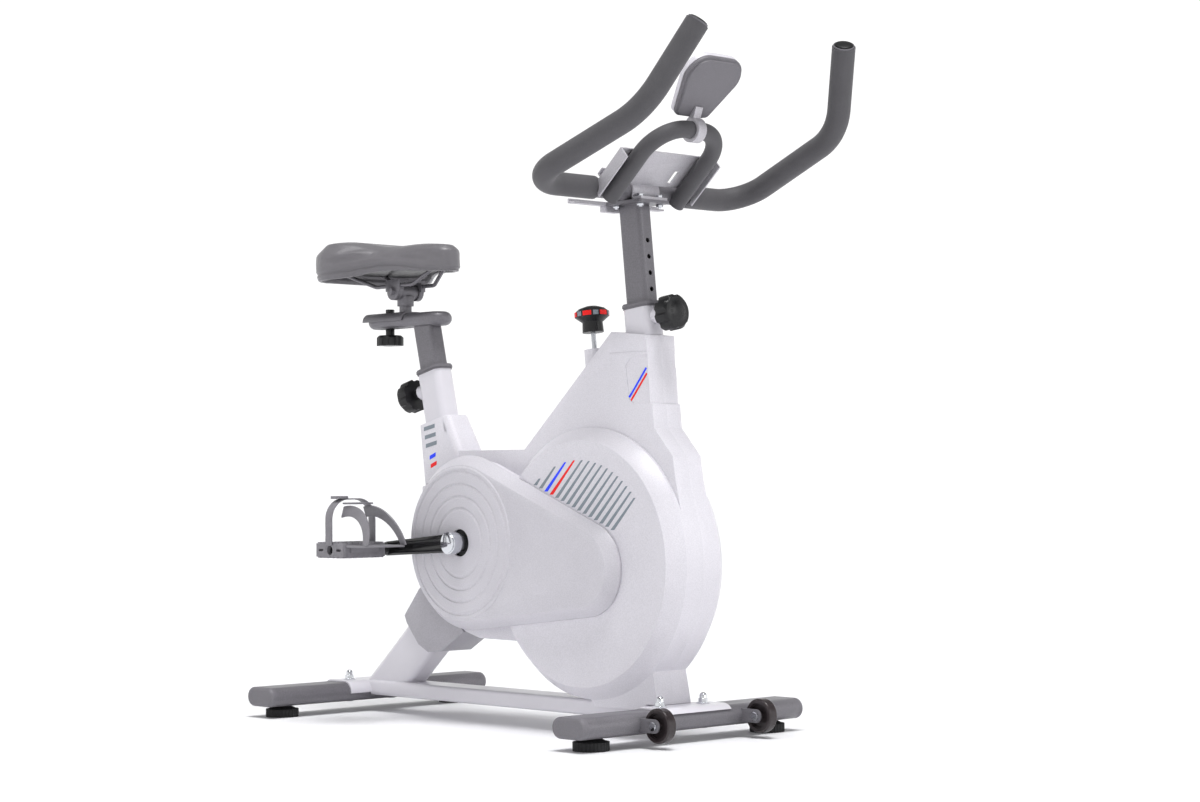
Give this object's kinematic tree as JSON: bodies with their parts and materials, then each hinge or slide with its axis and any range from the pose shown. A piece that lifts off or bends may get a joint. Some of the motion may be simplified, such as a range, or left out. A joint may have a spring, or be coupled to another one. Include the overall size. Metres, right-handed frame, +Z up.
{
  "type": "exercise bike",
  "caption": "Indoor spin-type exercise bike with belt-driven flywheel in a white housing, curved foam-grip handlebar, sliding saddle, toe-cage pedals and levelling feet",
  "frame": {"origin": "floor level, below the middle of the bike's overall length and width, with every adjustment at rest", "axes": "+X forwards from the saddle to the handlebar, +Y to the rider's left, +Z up"},
  "size_m": [1.0773, 0.5154, 1.1217],
  "materials": {
    "white_paint": "gloss powder coat",
    "grey_paint": "satin powder coat with a fine metallic speckle",
    "dark_paint": "satin powder coat",
    "black_paint": "gloss paint",
    "white_plastic": "fine moulded sheen",
    "guard_plastic": "fine moulded sheen",
    "grey_plastic": "fine moulded grain",
    "pedal_plastic": "fine moulded grain",
    "black_plastic": "fine moulded grain",
    "smoky_plastic": "smoky moulded plastic",
    "foot_rubber": "moulded rubber",
    "belt_rubber": "ribbed rubber",
    "grip_foam": "closed-cell foam",
    "steel": "turned steel",
    "chrome": "bright plating",
    "cast_iron": "turned rim",
    "saddle_vinyl": "soft embossed vinyl",
    "brake_felt": "pressed felt",
    "blue_plastic": "moulded"
  },
  "bodies": {
    "frame": {"base_rail": "white_paint", "rear_strut": "white_paint", "seat_tube": "white_paint", "main_tube": "white_paint", "head_tube": "white_paint", "bearings": "steel", "front_stabiliser": "grey_paint", "rear_stabiliser": "grey_paint", "stabiliser_caps": "grey_plastic", "base_fasteners": "chrome", "shell_right": "white_plastic", "shell_left": "white_plastic", "strut_boot": "white_plastic", "seat_sleeve": "white_plastic", "belt_guard": "guard_plastic", "left_guard": "guard_plastic", "tube_collars": "grey_plastic", "drive_belt": "belt_rubber"},
    "front_right_foot": {"foot_front_right": "foot_rubber"},
    "front_left_foot": {"foot_front_left": "foot_rubber"},
    "rear_right_foot": {"foot_rear_right": "foot_rubber"},
    "rear_left_foot": {"foot_rear_left": "foot_rubber"},
    "right_wheel": {"wheel_right": "smoky_plastic"},
    "left_wheel": {"wheel_left": "smoky_plastic"},
    "flywheel_set": {"flywheel": "cast_iron", "flywheel_axle": "steel"},
    "crankset": {"crank_axle": "steel", "drive_pulley": "black_plastic", "right_crank": "black_paint", "left_crank": "black_paint", "crank_caps": "chrome"},
    "right_pedal_set": {"right_pedal": "pedal_plastic", "right_toe_cage": "pedal_plastic"},
    "left_pedal_set": {"left_pedal": "pedal_plastic", "left_toe_cage": "pedal_plastic"},
    "seat_column": {"seat_post": "grey_paint"},
    "seat_slider": {"seat_carriage": "grey_paint"},
    "saddle": {"saddle_clamp": "steel", "saddle_rails": "dark_paint", "saddle_shell": "black_plastic", "saddle_cushion": "saddle_vinyl"},
    "slider_lock": {"slider_knob": "black_plastic"},
    "seat_lock": {"seat_pin": "steel"},
    "seat_lock_knob": {"seat_knob": "black_plastic"},
    "handlebar_column": {"handlebar_post": "grey_paint", "handlebar": "grey_paint", "bar_grips": "grip_foam", "media_loop": "dark_paint", "tablet_tray": "grey_paint", "bar_clamp": "grey_paint", "clamp_bolts": "chrome"},
    "handlebar_lock": {"handlebar_pin": "steel"},
    "handlebar_lock_knob": {"handlebar_knob": "black_plastic"},
    "monitor": {"monitor_front": "white_plastic", "monitor_back": "grey_plastic", "monitor_clamp": "grey_plastic"},
    "button": {"mode_button": "blue_plastic"},
    "brake_plunger": {"brake_rod": "steel"},
    "brake_knob": {"resistance_knob": "black_plastic"},
    "brake_block": {"brake_shoe": "brake_felt"}
  },
  "joints": [
    {"name": "front_right_levelling", "type": "slide", "parent": "frame", "child": "front_right_foot", "axis": [0, 0, -1], "range_m": [0, 0.008]},
    {"name": "front_left_levelling", "type": "slide", "parent": "frame", "child": "front_left_foot", "axis": [0, 0, -1], "range_m": [0, 0.008]},
    {"name": "rear_right_levelling", "type": "slide", "parent": "frame", "child": "rear_right_foot", "axis": [0, 0, -1], "range_m": [0, 0.008]},
    {"name": "rear_left_levelling", "type": "slide", "parent": "frame", "child": "rear_left_foot", "axis": [0, 0, -1], "range_m": [0, 0.008]},
    {"name": "right_wheel_roll", "type": "hinge", "parent": "frame", "child": "right_wheel", "pos_m": [0.37825, -0.115, 0.0364], "axis": [0, 1, 0], "continuous": true},
    {"name": "left_wheel_roll", "type": "hinge", "parent": "frame", "child": "left_wheel", "pos_m": [0.37825, 0.115, 0.0364], "axis": [0, 1, 0], "continuous": true},
    {"name": "flywheel_spin", "type": "hinge", "parent": "frame", "child": "flywheel_set", "pos_m": [0.13825, 0, 0.2815], "axis": [0, 1, 0], "continuous": true},
    {"name": "crank_spin", "type": "hinge", "parent": "frame", "child": "crankset", "pos_m": [-0.13775, 0, 0.312], "axis": [0, 1, 0], "continuous": true},
    {"name": "right_pedal_spin", "type": "hinge", "parent": "crankset", "child": "right_pedal_set", "pos_m": [-0.30734, -0.1905, 0.30014], "axis": [0, 1, 0], "continuous": true},
    {"name": "left_pedal_spin", "type": "hinge", "parent": "crankset", "child": "left_pedal_set", "pos_m": [0.03184, 0.1905, 0.32386], "axis": [0, 1, 0], "continuous": true},
    {"name": "seat_height", "type": "slide", "parent": "frame", "child": "seat_column", "axis": [-0.2334, 0, 0.9724], "range_m": [-0.054, 0.081]},
    {"name": "seat_reach", "type": "slide", "parent": "seat_column", "child": "seat_slider", "axis": [1, 0, 0], "range_m": [-0.025, 0.06]},
    {"name": "saddle_tilt", "type": "hinge", "parent": "seat_slider", "child": "saddle", "pos_m": [-0.38975, 0, 0.762], "axis": [0, 1, 0], "range_deg": [-15, 15]},
    {"name": "slider_lock_turn", "type": "hinge", "parent": "seat_slider", "child": "slider_lock", "pos_m": [-0.43475, 0, 0.692], "axis": [0, 0, 1], "range_deg": [-720, 0]},
    {"name": "seat_lock_pull", "type": "slide", "parent": "frame", "child": "seat_lock", "axis": [-0.9724, 0, -0.2334], "range_m": [0, 0.008], "stiffness_N_per_m": 2500, "springref_m": -0.002},
    {"name": "seat_lock_turn", "type": "hinge", "parent": "seat_lock", "child": "seat_lock_knob", "pos_m": [-0.30122, 0, 0.58718], "axis": [-0.9724, 0, -0.2334], "range_deg": [-360, 0]},
    {"name": "handlebar_height", "type": "slide", "parent": "frame", "child": "handlebar_column", "axis": [-0.1045, 0, 0.9945], "range_m": [-0.054, 0.081]},
    {"name": "handlebar_lock_pull", "type": "slide", "parent": "frame", "child": "handlebar_lock", "axis": [0.9945, 0, 0.1045], "range_m": [0, 0.008], "stiffness_N_per_m": 2500, "springref_m": -0.002},
    {"name": "handlebar_lock_turn", "type": "hinge", "parent": "handlebar_lock", "child": "handlebar_lock_knob", "pos_m": [0.22876, 0, 0.68196], "axis": [0.9945, 0, 0.1045], "range_deg": [-360, 0]},
    {"name": "monitor_tilt", "type": "hinge", "parent": "handlebar_column", "child": "monitor", "pos_m": [0.34843, 0, 0.97904], "axis": [0, 1, 0], "range_deg": [-25, 25]},
    {"name": "mode_press", "type": "slide", "parent": "monitor", "child": "button", "axis": [0.7373, 0, -0.6756], "range_m": [0, 0.001], "stiffness_N_per_m": 500, "springref_m": -0.0006},
    {"name": "brake_press", "type": "slide", "parent": "frame", "child": "brake_plunger", "axis": [0.1045, 0, -0.9945], "range_m": [0, 0.003], "stiffness_N_per_m": 3000, "springref_m": -0.003},
    {"name": "resistance_turn", "type": "hinge", "parent": "brake_plunger", "child": "brake_knob", "pos_m": [0.10884, 0, 0.66505], "axis": [-0.1045, 0, 0.9945], "range_deg": [-1080, 0]},
    {"name": "brake_feed", "type": "slide", "parent": "brake_plunger", "child": "brake_block", "axis": [0.1045, 0, -0.9945], "range_m": [0, 0.0038]}
  ],
  "couplings": [
    {"joint": "crank_spin", "follows": "flywheel_spin", "ratio": 0.25},
    {"joint": "brake_feed", "follows": "resistance_turn", "m_per_rad": -0.00019894}
  ]
}
